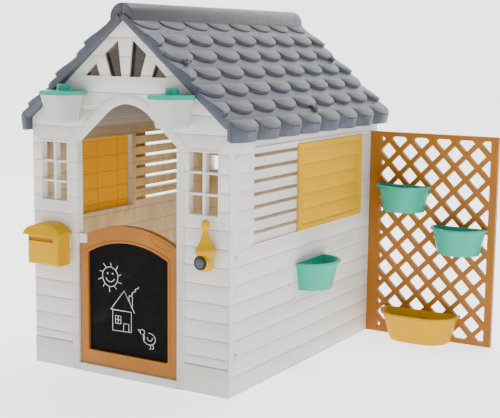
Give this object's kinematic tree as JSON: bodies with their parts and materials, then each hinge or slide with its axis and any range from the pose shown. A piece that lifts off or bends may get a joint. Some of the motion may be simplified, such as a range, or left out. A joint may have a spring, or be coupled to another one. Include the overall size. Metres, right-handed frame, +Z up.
{
  "type": "plastic playhouse",
  "caption": "Moulded plastic garden playhouse with a tiled gable roof, half door with chalkboard, sliding shutters, letterbox, doorbell, lanterns and a trellis with planters.",
  "frame": {"origin": "on the ground, in the middle of the whole object's footprint", "axes": "+X is to the right of someone facing the door, and the trellis stands on that side; +Y goes from the front wall with the door to the back wall; +Z is up"},
  "size_m": [1.435, 1.3116, 1.31],
  "materials": {
    "wall_plastic": "light warm-grey moulded polypropylene with a fine grain",
    "roof_plastic": "slate-grey moulded polypropylene",
    "yellow_plastic": "mustard-yellow moulded polypropylene",
    "brown_plastic": "orange-brown moulded polypropylene",
    "turquoise_plastic": "pale turquoise moulded polypropylene",
    "chalkboard_plastic": "black writing panel with chalk drawings",
    "frosted_plastic": "frosted translucent plastic",
    "button_plastic": "slate-blue plastic"
  },
  "bodies": {
    "house": {"front_wall": "wall_plastic", "back_wall": "wall_plastic", "left_side_wall": "wall_plastic", "right_side_wall": "wall_plastic", "door_hinge_bracket": "wall_plastic", "roof_panel_left": "roof_plastic", "roof_panel_right": "roof_plastic", "letterbox_body": "yellow_plastic", "doorbell_housing": "yellow_plastic", "trellis_trough": "yellow_plastic", "trellis_panel": "brown_plastic", "doorbell_sound_module": "button_plastic", "lantern_body_left": "frosted_plastic", "lantern_body_right": "frosted_plastic", "lantern_cap_left": "turquoise_plastic", "lantern_cap_right": "turquoise_plastic", "trellis_planter_upper": "turquoise_plastic", "trellis_planter_lower": "turquoise_plastic", "wall_planter": "turquoise_plastic", "corner_bolt_front_right_low": "wall_plastic", "corner_bolt_front_right_middle": "wall_plastic", "corner_bolt_front_right_high": "wall_plastic", "corner_bolt_back_right_low": "wall_plastic", "corner_bolt_back_right_middle": "wall_plastic", "corner_bolt_back_right_high": "wall_plastic", "corner_bolt_front_left_low": "wall_plastic", "corner_bolt_front_left_middle": "wall_plastic", "corner_bolt_front_left_high": "wall_plastic", "corner_bolt_back_left_low": "wall_plastic", "corner_bolt_back_left_middle": "wall_plastic", "corner_bolt_back_left_high": "wall_plastic", "roof_bolt_left_low_front": "roof_plastic", "roof_bolt_left_low_middle": "roof_plastic", "roof_bolt_left_low_back": "roof_plastic", "roof_bolt_left_high_front": "roof_plastic", "roof_bolt_left_high_back": "roof_plastic", "roof_bolt_right_low_front": "roof_plastic", "roof_bolt_right_low_middle": "roof_plastic", "roof_bolt_right_low_back": "roof_plastic", "roof_bolt_right_high_front": "roof_plastic", "roof_bolt_right_high_back": "roof_plastic", "trellis_bolt_low": "brown_plastic", "trellis_bolt_middle": "brown_plastic", "trellis_bolt_high": "brown_plastic", "planter_bolt_upper": "turquoise_plastic", "planter_bolt_lower": "turquoise_plastic", "planter_bolt_wall": "turquoise_plastic", "planter_bolt_trough": "yellow_plastic"},
    "door": {"door_frame": "brown_plastic", "door_chalkboard": "chalkboard_plastic"},
    "left_shutter_body": {"left_shutter": "yellow_plastic"},
    "right_shutter_body": {"right_shutter": "yellow_plastic"},
    "letterbox_lid_body": {"letterbox_lid": "yellow_plastic"},
    "bell_button_body": {"doorbell_button": "button_plastic"}
  },
  "joints": [
    {"name": "door_hinge", "type": "hinge", "parent": "house", "child": "door", "pos_m": [-0.42547, -0.51124, 0.032], "axis": [0, 0, -1], "range_deg": [0, 95]},
    {"name": "right_shutter_slide", "type": "slide", "parent": "house", "child": "right_shutter_body", "axis": [0, -1, 0], "range_m": [0, 0.305]},
    {"name": "left_shutter_slide", "type": "slide", "parent": "house", "child": "left_shutter_body", "axis": [0, 1, 0], "range_m": [0, 0.305]},
    {"name": "letterbox_lid_hinge", "type": "hinge", "parent": "house", "child": "letterbox_lid_body", "pos_m": [-0.56147, -0.53354, 0.537], "axis": [-1, 0, 0], "range_deg": [0, 80]},
    {"name": "doorbell_press", "type": "slide", "parent": "house", "child": "bell_button_body", "axis": [0, 1, 0], "range_m": [0, 0.004], "stiffness_N_per_m": 400, "springref_m": -0.001}
  ]
}
